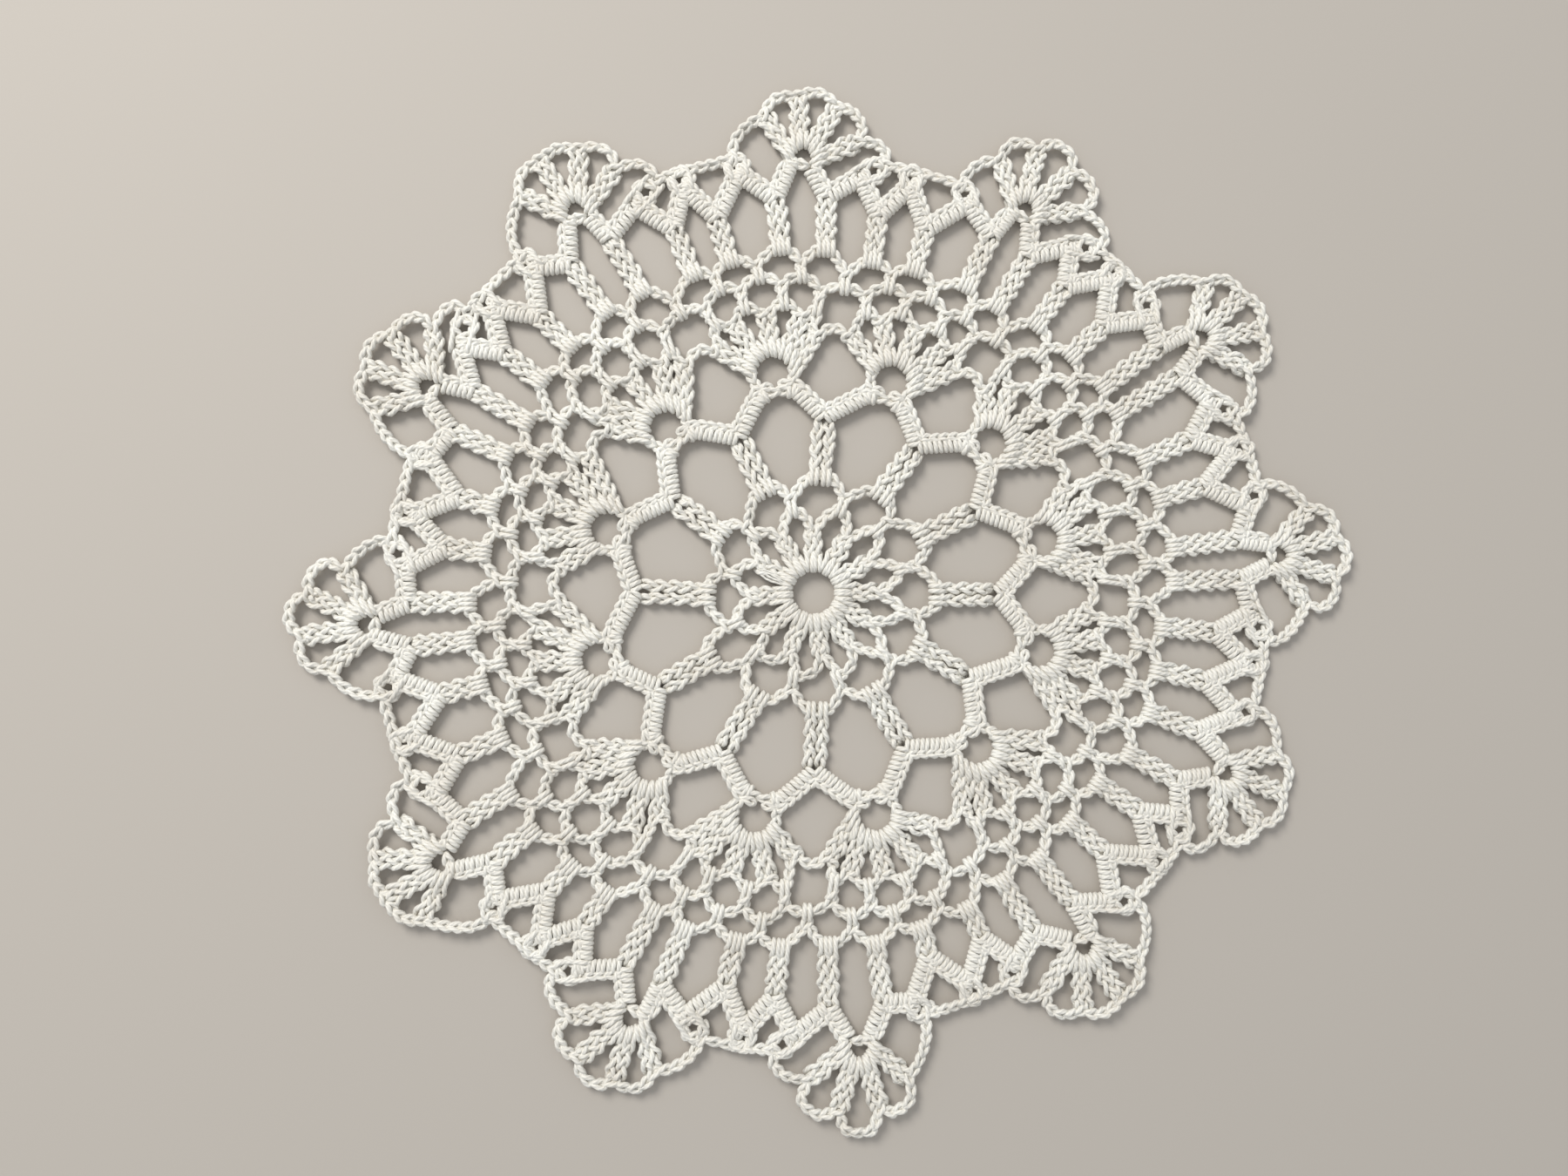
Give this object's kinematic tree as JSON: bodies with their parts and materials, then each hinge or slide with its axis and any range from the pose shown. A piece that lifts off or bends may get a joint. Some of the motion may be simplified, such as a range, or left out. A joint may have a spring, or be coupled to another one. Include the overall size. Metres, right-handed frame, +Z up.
{
  "type": "lace doily",
  "caption": "Round crocheted lace doily that lies flat: pierced centre, long spokes, a band of shells, a looped net and an edge of scalloped fans.",
  "frame": {"origin": "middle of the bounding box, on the surface that the doily lies on", "axes": "+Z up out of the sheet, +X and +Y in the sheet"},
  "size_m": [0.1642, 0.1608, 0.0018],
  "materials": {
    "cotton": "matt off-white cotton thread"
  },
  "bodies": {
    "root": {"doily": "cotton"}
  },
  "joints": []
}
